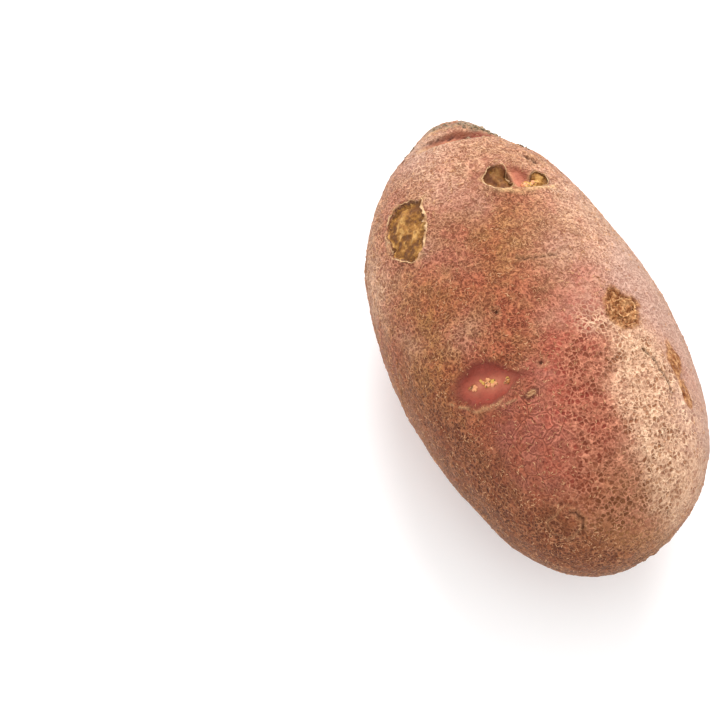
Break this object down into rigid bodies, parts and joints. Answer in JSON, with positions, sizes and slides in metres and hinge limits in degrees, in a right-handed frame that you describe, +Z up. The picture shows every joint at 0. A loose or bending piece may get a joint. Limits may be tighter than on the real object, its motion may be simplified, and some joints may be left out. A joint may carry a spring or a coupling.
{
  "type": "potato",
  "caption": "Long oval whole potato tuber with a thin netted pink-brown skin, shallow budded eyes and rough corky scars, lying on its flattest side.",
  "frame": {"origin": "on the resting surface, under the middle of the tuber's bounding box", "axes": "+Y along the tuber from the heel end, where its runner was, to the crown end with the crowded eyes; +Z up out of the resting surface; +X across the tuber"},
  "size_m": [0.0598, 0.105, 0.0525],
  "materials": {
    "potato_skin": "matte"
  },
  "bodies": {
    "root": {"potato": "potato_skin"}
  },
  "joints": []
}
